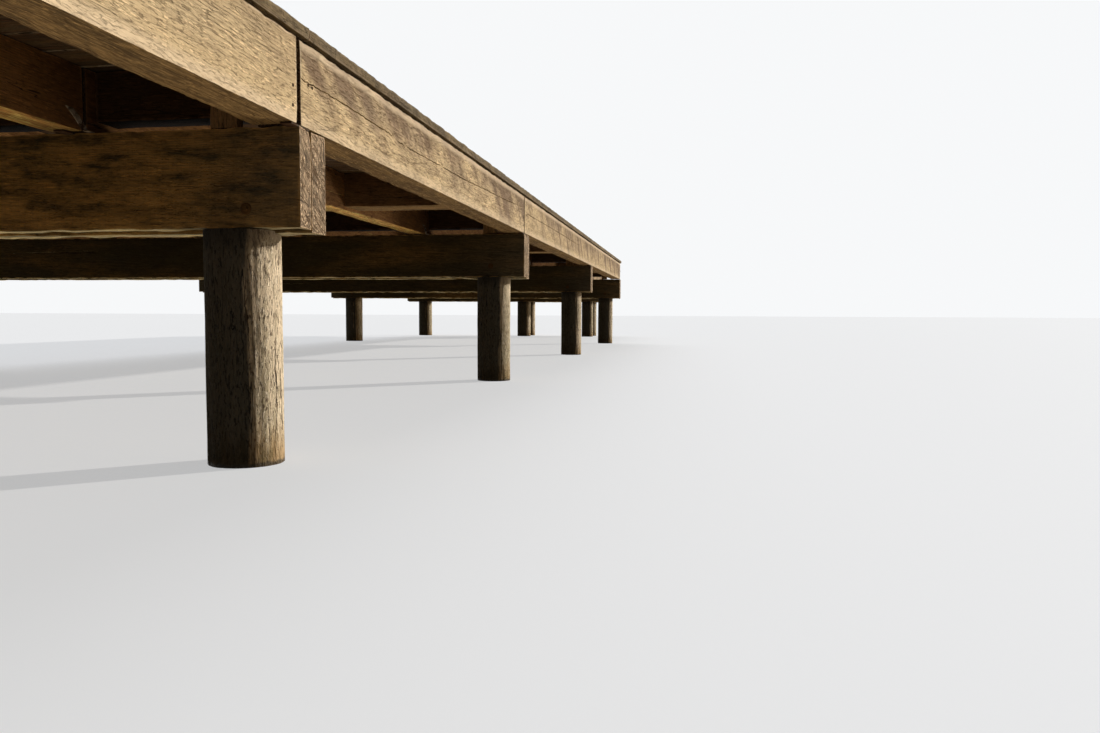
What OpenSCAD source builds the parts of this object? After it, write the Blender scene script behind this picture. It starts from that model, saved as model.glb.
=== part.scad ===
// Timber jetty on round piles: five bays with a bent of piles and a twin-plank cap at each end,
// outer beams and inner joists laid end to end over the caps, noggings, deck and edge kerbs.
// X runs across the jetty, Y along it away from the shore, Z up from the waterline.

/* [Jetty] */
// Number of bays between the first and the last bent
bays = 5; // [2:1:6]
// Number of shorter bays, counted from the shore
shore_bays = 2; // [0:1:6]
// Length of a shorter bay, from the near face of one cap to the near face of the next
shore_bay_l = 3400; // [2600:50:4500]
// Length of each further bay, out over the deeper water
bay_l = 3900; // [2600:50:4500]
// Width of the jetty over its outer beams
deck_w = 4850; // [3600:10:5600]
// Height of the caps' underside above the waterline
cap_z = 720; // [400:10:1500]
// How far the right-hand edge steps in along the last bay
end_step = 765; // [600:5:900]
// Distance from the last bent to the short row of piles at the very end
end_row = 640; // [450:10:900]
// How far the timbers run past the first cap towards the shore
shore_out = 60; // [60:5:200]
// How far the timbers run past the last cap
end_out = 60; // [60:5:200]

/* [Piles] */
// Diameter of the piles along the right-hand side
right_pile_d = 236; // [190:2:300]
// Diameter of the piles along the left-hand side and in the middle of the last bent
left_pile_d = 280; // [200:2:296]
// Distance from the right-hand cap end to the centre of the right-hand pile
right_inset = 235; // [160:5:500]
// Distance from the left-hand cap end to the centre of the left-hand pile
left_inset = 370; // [200:5:600]
// Distance of the middle piles of the last bent to the right of the centreline
middle_pile_x = 90; // [-200:10:300]

/* [Caps] */
// Thickness of the cap's plank on the shore side
near_plank_t = 75; // [50:1:120]
// Thickness of the cap's plank on the water side
far_plank_t = 100; // [50:1:140]
// Open seam between the two planks of a cap
seam = 3; // [1:0.5:8]
// Depth of the shore-side plank
cap_d = 300; // [200:5:400]
// How much deeper the water-side plank is
far_plank_extra = 8; // [0:1:20]

/* [Beams and joists] */
// Thickness of the outer beams
beam_t = 140; // [90:5:180]
// Depth of the outer beams
beam_d = 250; // [220:5:350]
// Thickness of the inner joists
joist_t = 110; // [50:5:140]
// Depth of the inner joists
joist_d = 195; // [150:5:215]
// Number of inner joists across a full-width bay
joists_across = 5; // [3:2:5]
// Distance from the jetty's edge to the middle of the first inner joist
joist_edge = 755; // [600:5:900]
// Open joint between the ends of two beams or joists
joint_gap = 12; // [4:1:20]
// How far the last right-hand beam runs onto its cap
end_bearing = 60; // [52:2:100]

/* [Noggings] */
// Thickness of the noggings over the caps
cap_nogging_t = 100; // [40:5:120]
// Depth of the noggings over the caps
cap_nogging_d = 155; // [100:5:180]
// Distance of their row from the near face of its cap
cap_row_y = 50; // [48:1:60]
// Thickness of the wider noggings out in the bay
mid_nogging_t = 200; // [40:5:240]
// Depth of the wider noggings
mid_nogging_d = 180; // [100:5:210]
// Distance of their row from the near face of the same cap
mid_row_y = 1980; // [1400:10:2300]
// Width of the short cleats that stand on the caps against the first row
cleat_w = 90; // [50:5:120]
// Distance of the cleats from the inner face of the outer beam
cleat_x = 64; // [30:2:150]

/* [Deck and kerbs] */
// Thickness of the kerb boards, which lie on the outer beams along both edges
kerb_t = 44; // [30:1:80]
// How far the kerb boards stand out past the outer beams
kerb_overhang = 9; // [0:1:40]
// Distance of the kerb joints past the near face of the caps
kerb_joint_y = 57; // [20:1:120]
// Side clearance between the deck and the outer beams
deck_clear = 3; // [1:0.5:8]

/* [Bearing plates] */
// Width of the flat steel plates let into the caps under the beam ends
plate_w = 35; // [25:1:60]
// Thickness of the plates
plate_t = 5; // [3:0.5:8]
// How far the plates stand out from the caps towards the shore
plate_out = 45; // [30:1:70]
// How far the plates reach in over the caps
plate_in = 70; // [40:1:75]

/* [Arrises] */
// Width of the eased corners of caps, beams and kerbs
arris = 4; // [1:0.5:8]

/* [Hidden] */
$fn = 96;
cap_t = near_plank_t + seam + far_plank_t;
cap_top = cap_z + cap_d;
beam_top = cap_top + beam_d;
joist_top = cap_top + joist_d;
kerb_w = beam_t + kerb_overhang;
half_w = deck_w / 2;
step_x = half_w - end_step;
total_l = shore_out + run_to(bays) + end_row + cap_t + end_out;
shore_y = -total_l / 2;
end_y = total_l / 2;
end_cap_y = end_y - end_out - cap_t;
last = bays - 1;
joist_pitch = (deck_w - 2 * joist_edge) / (joists_across - 1);
plate_edge = 3;
plate_fit = 0.3;

// Length of the first n bays
function run_to(n) = min(n, shore_bays) * shore_bay_l + max(0, n - shore_bays) * bay_l;

// Near face of the cap of bent i, counted from 0 at the shore
function bent_y(i) = shore_y + shore_out + run_to(i);

// Right-hand end of the cap of bent i
function cap_right(i) = i > last ? step_x : half_w;

// Right-hand edge of bay i
function bay_right(i) = i == last ? step_x : half_w;

// Where the longitudinal timbers of bay i start and stop
function run_start(i) = i == 0 ? shore_y : bent_y(i) + joint_gap / 2;
function run_stop(i) = i == last ? end_y : bent_y(i + 1) - joint_gap / 2;
function right_stop(i) = i == last - 1 ? bent_y(last) + end_bearing : run_stop(i);

// Middles of the inner joists that fit between the outer beams of bay i
function joist_xs(i) = [
    for (k = [0 : joists_across - 1])
        let (x = joist_edge - half_w + k * joist_pitch)
        if (x + joist_t / 2 < bay_right(i) - beam_t) x
];

// Clear spans across bay i, as [left, right] between neighbouring longitudinal timbers
function spans(i) =
    let (xs = joist_xs(i), n = len(xs))
    [
        [beam_t - half_w, xs[0] - joist_t / 2],
        for (k = [1 : n - 1]) [xs[k - 1] + joist_t / 2, xs[k] - joist_t / 2],
        [xs[n - 1] + joist_t / 2, bay_right(i) - beam_t]
    ];

// Middles of the timbers that bear on a plate where bay i meets bent i
function plate_xs(i) = concat(
    [plate_edge + plate_w / 2 - half_w],
    joist_xs(i),
    [bay_right(i) - plate_edge - plate_w / 2]
);

// Block between two opposite corners
module block(from, to) {
    translate(from) cube(to - from);
}

// Section of a sawn timber with eased arrises, its lower left corner at the origin
module sawn_section(w, h) {
    polygon([
        [arris, 0], [w - arris, 0], [w, arris], [w, h - arris],
        [w - arris, h], [arris, h], [0, h - arris], [0, arris]
    ]);
}

// Sawn timber along Y between two opposite corners
module timber_y(from, to) {
    translate([from.x, to.y, from.z]) rotate([90, 0, 0])
        linear_extrude(height = to.y - from.y) sawn_section(to.x - from.x, to.z - from.z);
}

// Sawn timber along X between two opposite corners
module timber_x(from, to) {
    translate(from) rotate([90, 0, 90])
        linear_extrude(height = to.x - from.x) sawn_section(to.y - from.y, to.z - from.z);
}

// Round pile from the waterline up into the underside of both cap planks
module pile(x, cap_y, d) {
    difference() {
        translate([x, cap_y + cap_t / 2, 0]) cylinder(d = d, h = cap_z);
        block(
            [x - d, cap_y + near_plank_t + seam, cap_z - far_plank_extra],
            [x + d, cap_y + cap_t + d, cap_z + 1]
        );
    }
}

// Two planks side by side, open at the seam, from left to right at one bent
module twin_cap(left, right, y) {
    timber_x([left, y, cap_z], [right, y + near_plank_t, cap_top]);
    timber_x([left, y + near_plank_t + seam, cap_z - far_plank_extra], [right, y + cap_t, cap_top]);
}

// Plate under the ends of two timbers that meet at the near face of a cap
module plate(x, y, fit = 0) {
    block(
        [x - plate_w / 2 - fit, y - plate_out, cap_top - plate_t],
        [x + plate_w / 2 + fit, y + plate_in + fit, cap_top + fit]
    );
}

module piles(i) {
    color("#8a7350") {
        pile(left_inset - half_w, bent_y(i), left_pile_d);
        pile(cap_right(i) - right_inset, bent_y(i), right_pile_d);
        if (i > last) pile(middle_pile_x, bent_y(i), left_pile_d);
    }
}

module end_piles() {
    color("#8a7350") {
        pile(middle_pile_x, end_cap_y, right_pile_d);
        pile(step_x - right_inset, end_cap_y, right_pile_d);
    }
}

module cap(i) {
    color("#6d5638") difference() {
        twin_cap(-half_w, cap_right(i), bent_y(i));
        if (i > 0 && i <= last) for (x = plate_xs(i)) plate(x, bent_y(i), plate_fit);
    }
}

module end_cap() {
    color("#6d5638") twin_cap(middle_pile_x - right_inset, step_x, end_cap_y);
}

module beam_right(i) {
    color("#b3976a") timber_y(
        [bay_right(i) - beam_t, run_start(i), cap_top],
        [bay_right(i), right_stop(i), beam_top]
    );
}

module beam_left(i) {
    color("#b3976a") timber_y([-half_w, run_start(i), cap_top], [beam_t - half_w, run_stop(i), beam_top]);
}

module joists(i) {
    color("#8f6f45") for (x = joist_xs(i))
        block([x - joist_t / 2, run_start(i), cap_top], [x + joist_t / 2, run_stop(i), joist_top]);
}

// Two rows of noggings across a bay, and the piece that closes the step of the last bay
module noggings(i) {
    color("#7a5c3a") {
        for (s = spans(i)) {
            nogging(s, bent_y(i) + cap_row_y, cap_nogging_t, cap_nogging_d);
            nogging(s, bent_y(i) + mid_row_y, mid_nogging_t, mid_nogging_d);
        }
        if (i == last) nogging(
            [step_x, half_w - beam_t], bent_y(i) + cap_row_y, cap_nogging_t, cap_nogging_d
        );
    }
}

module nogging(span, y, t, d) {
    block([span[0], y, joist_top - d], [span[1], y + t, joist_top]);
}

// Deck of one bay, level with the tops of the outer beams
module deck(i) {
    left = beam_t - half_w + deck_clear;
    right = bay_right(i) - beam_t - deck_clear;
    color("#9c8a68") {
        block([left, run_start(i), joist_top], [right, run_stop(i), beam_top]);
        if (i == last) block(
            [step_x + deck_clear, run_start(i), joist_top],
            [half_w - beam_t - deck_clear, bent_y(i) + cap_t, beam_top]
        );
    }
}

module kerb_board(outer_x, side, from, to) {
    inner_x = outer_x - side * kerb_w;
    timber_y(
        [min(outer_x, inner_x), from, beam_top],
        [max(outer_x, inner_x), to, beam_top + kerb_t]
    );
}

// Joints of the kerb boards along a full-width edge that stops at y
function kerb_cuts(count, stop) = concat(
    [shore_y],
    [for (i = [1 : count - 1]) bent_y(i) + kerb_joint_y],
    [stop]
);

module kerb_run(cuts, side) {
    for (k = [0 : len(cuts) - 2])
        kerb_board(
            side * (half_w + kerb_overhang), side,
            cuts[k] + (k == 0 ? 0 : deck_clear), cuts[k + 1]
        );
}

module kerb_right() {
    color("#8f8668") {
        kerb_run(kerb_cuts(last, bent_y(last) + cap_t), 1);
        kerb_board(step_x + kerb_overhang, 1, bent_y(last) + cap_t + deck_clear, end_y);
    }
}

module kerb_left() {
    color("#8f8668") kerb_run(kerb_cuts(bays, end_y), -1);
}

// Short cleats on the caps beside the outer beams, against the first nogging row
module cleats() {
    color("#a58a5c") for (i = [1 : last], side = [-1, 1]) {
        x = side * (half_w - beam_t - cleat_x - cleat_w / 2);
        block(
            [x - cleat_w / 2, bent_y(i) + joint_gap, cap_top],
            [x + cleat_w / 2, bent_y(i) + cap_row_y, joist_top]
        );
    }
}

module bearing_plates() {
    color("#a9adb0") for (i = [1 : last], x = plate_xs(i)) plate(x, bent_y(i));
}

for (i = [0 : bays]) {
    piles(i);
    cap(i);
}
end_piles();
end_cap();
for (i = [0 : last]) {
    beam_right(i);
    beam_left(i);
    joists(i);
    noggings(i);
    deck(i);
}
kerb_right();
kerb_left();
cleats();
bearing_plates();
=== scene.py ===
"""Looks of a timber jetty: sawn beams, twin caps, round piles, a boarded deck and small steel.

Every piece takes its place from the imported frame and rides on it. Lengths are in metres,
with +X across the jetty, +Y along it from the shore and +Z up from the waterline.
"""
import logging
import math
import random
from collections.abc import Callable
from dataclasses import dataclass, field
from enum import Enum
from functools import cache
from typing import ClassVar

import bmesh
import bpy
from mathutils import Matrix, Vector, noise


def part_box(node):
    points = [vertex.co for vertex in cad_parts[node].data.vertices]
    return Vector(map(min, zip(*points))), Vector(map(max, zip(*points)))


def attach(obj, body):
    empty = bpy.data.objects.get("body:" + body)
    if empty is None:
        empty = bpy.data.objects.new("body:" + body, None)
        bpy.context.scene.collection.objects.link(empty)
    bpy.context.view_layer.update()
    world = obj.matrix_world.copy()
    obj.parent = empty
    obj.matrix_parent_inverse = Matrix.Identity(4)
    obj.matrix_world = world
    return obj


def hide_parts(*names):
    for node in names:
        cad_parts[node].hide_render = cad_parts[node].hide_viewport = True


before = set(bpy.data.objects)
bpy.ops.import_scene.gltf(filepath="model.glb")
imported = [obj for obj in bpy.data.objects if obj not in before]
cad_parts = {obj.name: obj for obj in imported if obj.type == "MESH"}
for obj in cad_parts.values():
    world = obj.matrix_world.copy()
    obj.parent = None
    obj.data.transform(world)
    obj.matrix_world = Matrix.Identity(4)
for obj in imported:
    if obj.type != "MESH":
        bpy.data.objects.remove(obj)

LOG = logging.getLogger("jetty")
Triple = tuple[float, float, float]

ROOT = "root"
BAYS = sum(name.endswith("_deck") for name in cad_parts)
BEAM_THICKNESS = 0.140
CARRIED = ("grain", "half", "tone")
NOWHERE = Vector()
RAYS = ("Camera", "Glossy", "Transmission")
TOUCH = 1e-5
SHARP_ANGLE = math.radians(38.0)


class Axis(Enum):
    """Which way a timber's grain runs, as the order of its axes: along, across and up."""

    X = (0, 1, 2)
    Y = (1, 0, 2)
    Z = (2, 0, 1)


class Slot(Enum):
    """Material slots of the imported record."""

    PILE = "pile"
    CAP = "cap"
    BEAM = "outer_beam"
    JOIST = "joist"
    NOGGING = "nogging"
    BOARD = "deck_board"
    KERB = "kerb"
    CLEAT = "cleat"


# Shader expressions


def _operator(operation: str, swapped: bool = False) -> Callable[..., "Wire"]:
    """Makes a method that adds one Math node, or a Vector Math node if a term is a vector.

    Args:
        operation: The node's operation.
        swapped: Whether the wire itself is the last term.

    Returns:
        The method.
    """

    def method(wire: "Wire", *others: object) -> "Wire":
        """Adds the node for the wire and the other terms.

        Args:
            wire: The wire that the method belongs to.
            others: Wires, numbers or triples.

        Returns:
            The node's result.
        """
        terms = [*others, wire] if swapped else [wire, *others]
        vector = any(isinstance(t, tuple) or getattr(t, "kind", "") == "VECTOR" for t in terms)
        if vector:
            terms = [(t, t, t) if isinstance(t, (int, float)) else t for t in terms]
        kind = "VectorMath" if vector else "Math"
        return wire.sheet.node(kind, dict(enumerate(terms)), operation=operation)

    return method


class Wire:
    """A node's output, on which Python's arithmetic adds nodes."""

    def __init__(self, sheet: "Sheet", socket: bpy.types.NodeSocket) -> None:
        """Wraps an output socket of a sheet."""
        self.sheet = sheet
        self.socket, self.kind = socket, socket.type

    __add__ = __radd__ = _operator("ADD")
    __sub__ = _operator("SUBTRACT")
    __rsub__ = _operator("SUBTRACT", swapped=True)
    __mul__ = __rmul__ = _operator("MULTIPLY")
    __truediv__ = _operator("DIVIDE")
    __abs__ = _operator("ABSOLUTE")
    least = _operator("MINIMUM")
    most = _operator("MAXIMUM")
    wrapped = _operator("FRACT")

    def rise(self, low: float, high: float) -> "Wire":
        """Goes smoothly from 0 where this is low to 1 where it is high, above or below low."""
        ends = {"Value": self, "From Min": low, "From Max": high}
        return self.sheet.node("MapRange", ends, interpolation_type="SMOOTHSTEP")


def tinted(colour: Triple, *shares: float) -> Triple:
    """A colour times one share, or times one for each of its parts, kept below white."""
    return tuple(min(0.9, part * share) for part, share in zip(colour, shares * 3))


class Sheet:
    """The node tree of a material or the world, with the place and the colour it works on."""

    at: Wire
    colour: Wire

    def __init__(self, owner: bpy.types.Material | bpy.types.World) -> None:
        """Takes over the owner's node tree."""
        owner.use_nodes = True
        self.owner, self.tree = owner, owner.node_tree

    def node(self, kind: str, inputs: dict | None = None, out: int | str = 0, **settings: object) -> Wire:
        """Adds a node.

        Args:
            kind: The node's type after ShaderNode.
            inputs: Values or wires by socket name or number.
            out: The output that is wanted.
            settings: The node's own settings, set first.

        Returns:
            That output.
        """
        made = self.tree.nodes.new("ShaderNode" + kind)
        for key, value in settings.items():
            setattr(made, key, value)
        for key, value in (inputs or {}).items():
            self.feed(made.inputs[key], value)
        return Wire(self, made.outputs[out])

    def feed(self, socket: bpy.types.NodeSocket, value: object) -> None:
        """Links a wire to a socket, or sets the socket's own value.

        Args:
            socket: The input socket.
            value: A wire, number, triple or colour.
        """
        if isinstance(value, Wire):
            self.tree.links.new(value.socket, socket)
        else:
            socket.default_value = (*value, 1.0) if socket.type == "RGBA" else value

    def parts(self, vector: Wire) -> list[Wire]:
        """The three numbers of a vector."""
        first = self.node("SeparateXYZ", {"Vector": vector})
        return [Wire(self, socket) for socket in first.socket.node.outputs]

    def grit(self, along: float, across: float | tuple[float, float], detail: float = 2.0,
             rough: float = 0.5, at: Wire | None = None) -> Wire:
        """Noise from 0 to 1 about a half.

        Args:
            along: Its frequency along the grain, per metre.
            across: Its frequency across the grain, or the level and the upright one.
            detail: Octaves.
            rough: How strong the finer octaves are.
            at: Where it is read, if not at the sheet's own place.

        Returns:
            The noise.
        """
        stretch = (along, *across) if isinstance(across, tuple) else (along, across, across)
        place = (self.at if at is None else at) * stretch
        return self.node("TexNoise", {"Vector": place, "Scale": 1.0, "Detail": detail, "Roughness": rough})

    def blend(self, factor: object, first: object, second: object, mode: str = "MIX") -> Wire:
        """Mixes two colours, from the first at 0 to the second at 1."""
        return self.node("Mix", {0: factor, 6: first, 7: second}, 2, data_type="RGBA", blend_type=mode)

    def coat(self, factor: object, paint: object, mode: str = "MIX") -> None:
        """Lays a colour over the sheet's own, as far as the factor says."""
        self.colour = self.blend(factor, self.colour, paint, mode)

    def seen(self) -> Wire:
        """Tells the eye's own and its reflected and refracted rays from all others.

        Returns:
            1 for those rays, 0 for the others.
        """
        rays = self.node("LightPath").socket.node.outputs
        camera, glossy, through = (Wire(self, rays[f"Is {kind} Ray"]) for kind in RAYS)
        return camera.most(glossy).most(through)

    def dress(self, rough: object, height: Wire | None = None, relief: float = 0.001,
              **constants: object) -> bpy.types.Material:
        """Feeds the surface shader.

        Args:
            rough: The roughness.
            height: The surface's height, from about 0 to 1.
            relief: How deep the height is, in metres.
            constants: Other sockets, with _ for a space.

        Returns:
            The material.
        """
        constants |= {"Base_Color": self.colour, "Roughness": rough}
        if height is not None:
            constants["Normal"] = self.node("Bump", {"Strength": 1.0, "Distance": relief, "Height": height})
        for key, value in constants.items():
            self.feed(self.tree.nodes["Principled BSDF"].inputs[key.replace("_", " ")], value)
        return self.owner


class WoodSheet(Sheet):
    """A sheet that follows each timber's own grain, by the vectors that its mesh carries.

    They are grain, the place from the timber's middle as along, across and up; half, its half
    size in the same order; and tone, two seeds and how brown it is.
    """

    def __init__(self, name: str, spread: Triple) -> None:
        """Reads what the mesh carries.

        Args:
            name: The material's name.
            spread: How far the tone moves the pattern, so that no two timbers match.
        """
        super().__init__(bpy.data.materials.new(name))
        self.grain, self.half, self.tone = (
            self.node("Attribute", out="Vector", attribute_name=key) for key in CARRIED
        )
        self.along, self.across, self.up = self.parts(self.grain)
        self.brown = self.parts(self.tone)[2]
        self.at = self.grain + self.tone * spread
        self.normal = self.node("NewGeometry", out="Normal")


# Finishes


@dataclass(frozen=True)
class SawnWood:
    """Weathered, rough-sawn softwood.

    Attributes:
        name: The material's name.
        pale: The palest wood.
        brown: The brownest wood.
        dark: Late rings, streaks and stains.
        end: The sawn ends.
        under: What undersides turn to: partly the unweathered look of faces that sun and rain miss, partly
            painted light where it is paler than the sides and painted shade where it is darker.
        underside_share: How far they turn to it.
        rings: How strongly the growth rings show.
        streaks: How strongly fine dark streaks show.
        bands: How strongly broad streaks show.
        saw: How strongly marks of the saw show across the grain.
        teeth: How many such marks there are in a metre.
        mottle: How strongly dark blotches show.
        clouds: How strongly broad dark patches show.
        grey: How far the weather has greyed it.
        green: How much green growth it has.
        cracks: How strongly fine cracks show.
        knots: How strongly knots show.
        drift: How much browner it is higher up and farther out.
        foot: How pale its lowest few centimetres are.
        tip: What it turns to towards its ends.
        tips: How far it turns to that.
        tip_length: How far from an end that reaches.
        figure: How strongly the broad slanting figure shows on brown timbers.
        relief: Depth of the relief.
        ring_gap: Distance between the growth rings.
    """

    name: str
    pale: Triple = (0.585, 0.436, 0.248)
    brown: Triple = (0.228, 0.155, 0.094)
    dark: Triple = (0.110, 0.062, 0.028)
    end: Triple = (0.33, 0.225, 0.13)
    under: Triple = (0.205, 0.138, 0.062)
    underside_share: float = 0.95
    rings: float = 0.22
    streaks: float = 0.62
    bands: float = 0.35
    saw: float = 0.25
    teeth: float = 170.0
    mottle: float = 0.15
    clouds: float = 0.0
    grey: float = 0.15
    green: float = 0.0
    cracks: float = 0.8
    knots: float = 0.0
    drift: float = 0.0
    foot: float = 0.0
    tip: Triple = (0.085, 0.040, 0.014)
    tips: float = 0.0
    tip_length: float = 0.55
    figure: float = 1.0
    relief: float = 0.0016
    ring_gap: float = 0.0065

    def make(self) -> bpy.types.Material:
        """Writes the shader."""
        return SawnSheet(self).owner


class SawnSheet(WoodSheet):
    """Writes a sawn wood's shader, coat by coat."""

    def __init__(self, wood: SawnWood) -> None:
        """Lays all the coats in order.

        Args:
            wood: The finish.
        """
        super().__init__(wood.name, (31.7, 17.3, 0.0))
        self.wood = wood
        self.facing_up = self.parts(self.normal)[2]
        self.down = self.facing_up.rise(-0.5, -0.9)
        self.margins = self.parts(self.half - abs(self.grain))
        self._rings()
        self._bare_wood()
        self._weather()
        self._fibres()
        self._arrises()
        self._flaws()
        self._ends()
        rough = self.grit(27.0, 250.0) * 0.25 + 0.70
        self.dress(rough, self.height, wood.relief, Specular_IOR_Level=0.08)

    def _rings(self) -> None:
        """Finds the growth rings about a pith near the timber's middle."""
        seed_a, seed_b, _ = self.parts(self.tone)
        from_pith = self.node("CombineXYZ", {
            "Y": self.across - (seed_a - 0.5) * 0.22,
            "Z": self.up + 0.03 + seed_b * 0.16,
        })
        radius = self.node("VectorMath", {0: from_pith}, "Value", operation="LENGTH")
        self.outward = self.node("VectorMath", {0: from_pith}, operation="NORMALIZE")
        bend = self.grit(1.1, 5.0) * 0.030 + self.grit(6.0, 40.0) * 0.004
        ring = ((radius + bend) / self.wood.ring_gap).wrapped()
        self.late = ring.rise(0.45, 0.93) * ring.rise(1.0, 0.94)

    def _bare_wood(self) -> None:
        """Starts with the wood's own colour and figure, its undersides in painted light and shade, and its
        rings.
        """
        wood, brown = self.wood, self.brown
        half_along, _, half_up = self.parts(self.half)
        broad = self.grit(0.9, 4.0, 4.0, 0.55)
        lean = self.node("CombineXYZ", {"X": self.up * 1.1})
        figure = self.grit(4.6, (4.0, 1.8), 5.0, 0.62, self.at + lean)
        shade = brown + (broad - 0.5) * 1.5 + (figure - 0.5) * brown * 7.6 * wood.figure
        uneven = self.up / half_up * (brown + 0.4) + self.along / half_along * brown
        self.colour = self.blend((shade + uneven * wood.drift).rise(0.12, 0.98), wood.pale, wood.brown)
        # Undersides get painted light and shade: a colour of their own, with pale wavy lines of figure.
        wave = self.grit(2.2, 26.0, 4.0, 0.55)
        lines = (wave * 9.0).wrapped()
        below = self.blend(wave.rise(0.40, 0.58), tinted(wood.under, 0.4), wood.under)
        pale_lines = lines.rise(0.50, 0.80) * lines.rise(1.0, 0.84) * 0.7
        below = self.blend(pale_lines, below, tinted(wood.under, 1.9))
        # Painted shade: the brownest timbers, the noggings over the caps among them, get near-black
        # undersides.
        below = self.blend(brown.rise(0.955, 0.98), below, tinted(wood.under, 0.015))
        self.coat(self.down * wood.underside_share, below)
        self.coat(self.late * wood.rings, wood.dark)

    def _weather(self) -> None:
        """Adds dark patches and blotches, greyed patches, green growth and changed tips."""
        wood = self.wood
        cloud = self.grit(5.0, 19.0, 5.0, 0.62).rise(0.37, 0.66)
        spot = self.grit(17.0, 60.0, 5.0, 0.65).rise(0.42, 0.62)
        amount = (1.15 - self.brown) * wood.clouds
        self.coat((cloud * 0.6 + cloud * spot * 0.5) * amount, wood.dark)
        blotch = self.grit(7.0, 24.0, 5.0, 0.65).rise(0.48, 0.62)
        self.coat(blotch * self.brown.rise(0.0, 0.4) * wood.mottle, wood.dark)
        grey = self.grit(2.3, 9.0, 5.0, 0.65).rise(0.42, 0.66)
        self.coat(grey * (1.0 - self.down) * wood.grey, (0.27, 0.225, 0.16))
        growth = self.grit(3.0, 12.0, 6.0, 0.7).rise(0.44, 0.66)
        upward = self.facing_up.rise(-0.2, 0.9) * 0.5 + 0.5
        self.coat(growth * upward * wood.green, (0.150, 0.135, 0.050))
        self.coat(self.margins[0].rise(wood.tip_length, 0.02) * wood.tips, wood.tip)

    def _fibres(self) -> None:
        """Adds raised fibres, dark streaks and pale glints along the grain, and saw marks across it."""
        wood = self.wood
        slant = self.at + self.node("CombineXYZ", {"Z": self.along * 0.05})
        thread = self.grit(30.0, 340.0, 3.0, 0.6, slant)
        fine = self.grit(70.0, 760.0, 2.0, 0.6, slant)
        band = self.grit(6.0, 95.0, 4.0, 0.65, slant)
        glint = self.grit(27.0, 210.0, 4.0, 0.62, slant + (7.3, 1.9, 4.1)).rise(0.555, 0.60)
        streak = self.grit(27.0, 185.0, 4.0, 0.62, slant).rise(0.555, 0.60) * (1.0 - glint)
        teeth = self.grit(wood.teeth, 12.0, 2.0, 0.6)
        bright = self.blend(1.0, self.colour, (1.65, 1.65, 1.65), "MULTIPLY")
        amount = (self.brown + 0.25) * wood.bands
        self.coat(band.rise(0.50, 0.62) * amount, wood.dark)
        self.coat(band.rise(0.47, 0.38) * amount * 0.6, bright)
        self.coat(thread.rise(0.50, 0.64) * 0.35, self.blend(0.6, self.colour, wood.dark))
        self.coat(teeth.rise(0.50, 0.66) * wood.saw * 0.4, wood.dark)
        self.coat(streak * (self.brown * 0.5 + 0.55) * wood.streaks, wood.dark)
        self.coat(glint * 0.6, bright)
        self.height = thread * 0.9 + fine * 0.3 + teeth * wood.saw - streak + glint * 0.9 - band * 0.5

    def _arrises(self) -> None:
        """Lightens worn arrises, and the faces' lowest and highest few centimetres."""
        wood, brown = self.wood, self.brown
        along, across, up = self.margins
        edge = along.least(across).most(along.most(across).least(up))
        worn = edge.rise(0.011, 0.001) * self.grit(18.0, 6.0, 3.0).rise(0.36, 0.60)
        half_up = self.parts(self.half)[2]
        foot = (self.up + half_up).rise(0.055, 0.012) * wood.foot * (1.15 - brown * 0.9)
        head = (half_up - self.up).rise(0.036, 0.014) * brown.rise(0.2, 0.5) * wood.foot * 1.1
        foot = foot.most(head * (1.0 - self.facing_up.rise(0.5, 0.9)))
        self.coat((worn * 0.6).most(foot) * (1.0 - self.down), tinted(wood.pale, 1.3, 1.37, 1.62))

    def _flaws(self) -> None:
        """Adds knots, and thin drying cracks that run with the grain and come and go."""
        wood = self.wood
        bent = self.at + self.grit(60.0, 60.0) * 0.008
        cell = self.node("TexVoronoi", {"Vector": bent, "Scale": 3.6}, "Distance")
        knot = cell.rise(0.062, 0.045) * wood.knots
        rim = cell.rise(0.085, 0.066) * cell.rise(0.050, 0.062) * wood.knots
        line = abs(self.grit(1.7, 17.0, 3.0, 0.6) - 0.5)
        crack = line.rise(0.0075, 0.0015) * self.grit(2.1, 8.0).rise(0.52, 0.62)
        self.coat(knot * 0.75, tinted(wood.dark, 1.2))
        self.coat(rim * 0.55, tinted(wood.dark, 0.6))
        self.coat(crack * wood.cracks, (0.025, 0.016, 0.010))
        self.height = self.height - crack * 2.2 - rim * 0.6 + knot * 0.3 - self.late * 0.3

    def _ends(self) -> None:
        """Covers the sawn ends: slanting saw strokes, pale torn fibres, ring arcs and star cracks."""
        wood, sides = self.wood, self.colour
        _, across, up = self.parts(self.at)
        bend = (self.grit(1.0, 14.0, at=self.grain) - 0.5) * 0.025
        slant = self.node("CombineXYZ", {
            "X": across * 0.52 + up * 0.85 + bend,
            "Y": up * 0.52 - across * 0.85,
        })
        stroke = self.grit(120.0, 11.0, 3.0, 0.6, slant)
        gouge = abs(self.grit(30.0, 3.5, 3.0, 0.6, slant) - 0.5).rise(0.034, 0.012)
        torn = self.grit(1.0, (150.0, 80.0), 3.0, 0.62)
        cloud = self.grit(1.0, (24.0, 14.0), 4.0, 0.6, self.grain)
        ray = self.grit(6.0, 6.0, at=self.outward + self.at * (0.0, 0.4, 0.4))
        star = abs(ray - 0.5).rise(0.014, 0.003)
        from_end, from_side, from_top = self.margins
        rim = from_side.least(from_top).rise(0.0075, 0.002) * torn.rise(0.36, 0.52)
        self.colour = self.blend(cloud.rise(0.38, 0.60), wood.end, tinted(wood.end, 0.5))
        self.coat((stroke.rise(0.43, 0.38) * 0.5).most(gouge * 0.85), tinted(wood.end, 0.30, 0.24, 0.18))
        self.coat((torn.rise(0.59, 0.64) * 0.9).most(rim * 0.5), tinted(wood.end, 2.3))
        self.coat(self.late * 0.2, wood.dark)
        self.coat(star * 0.8, (0.035, 0.024, 0.016))
        on_end = from_end.rise(0.0022, 0.0008)
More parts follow.
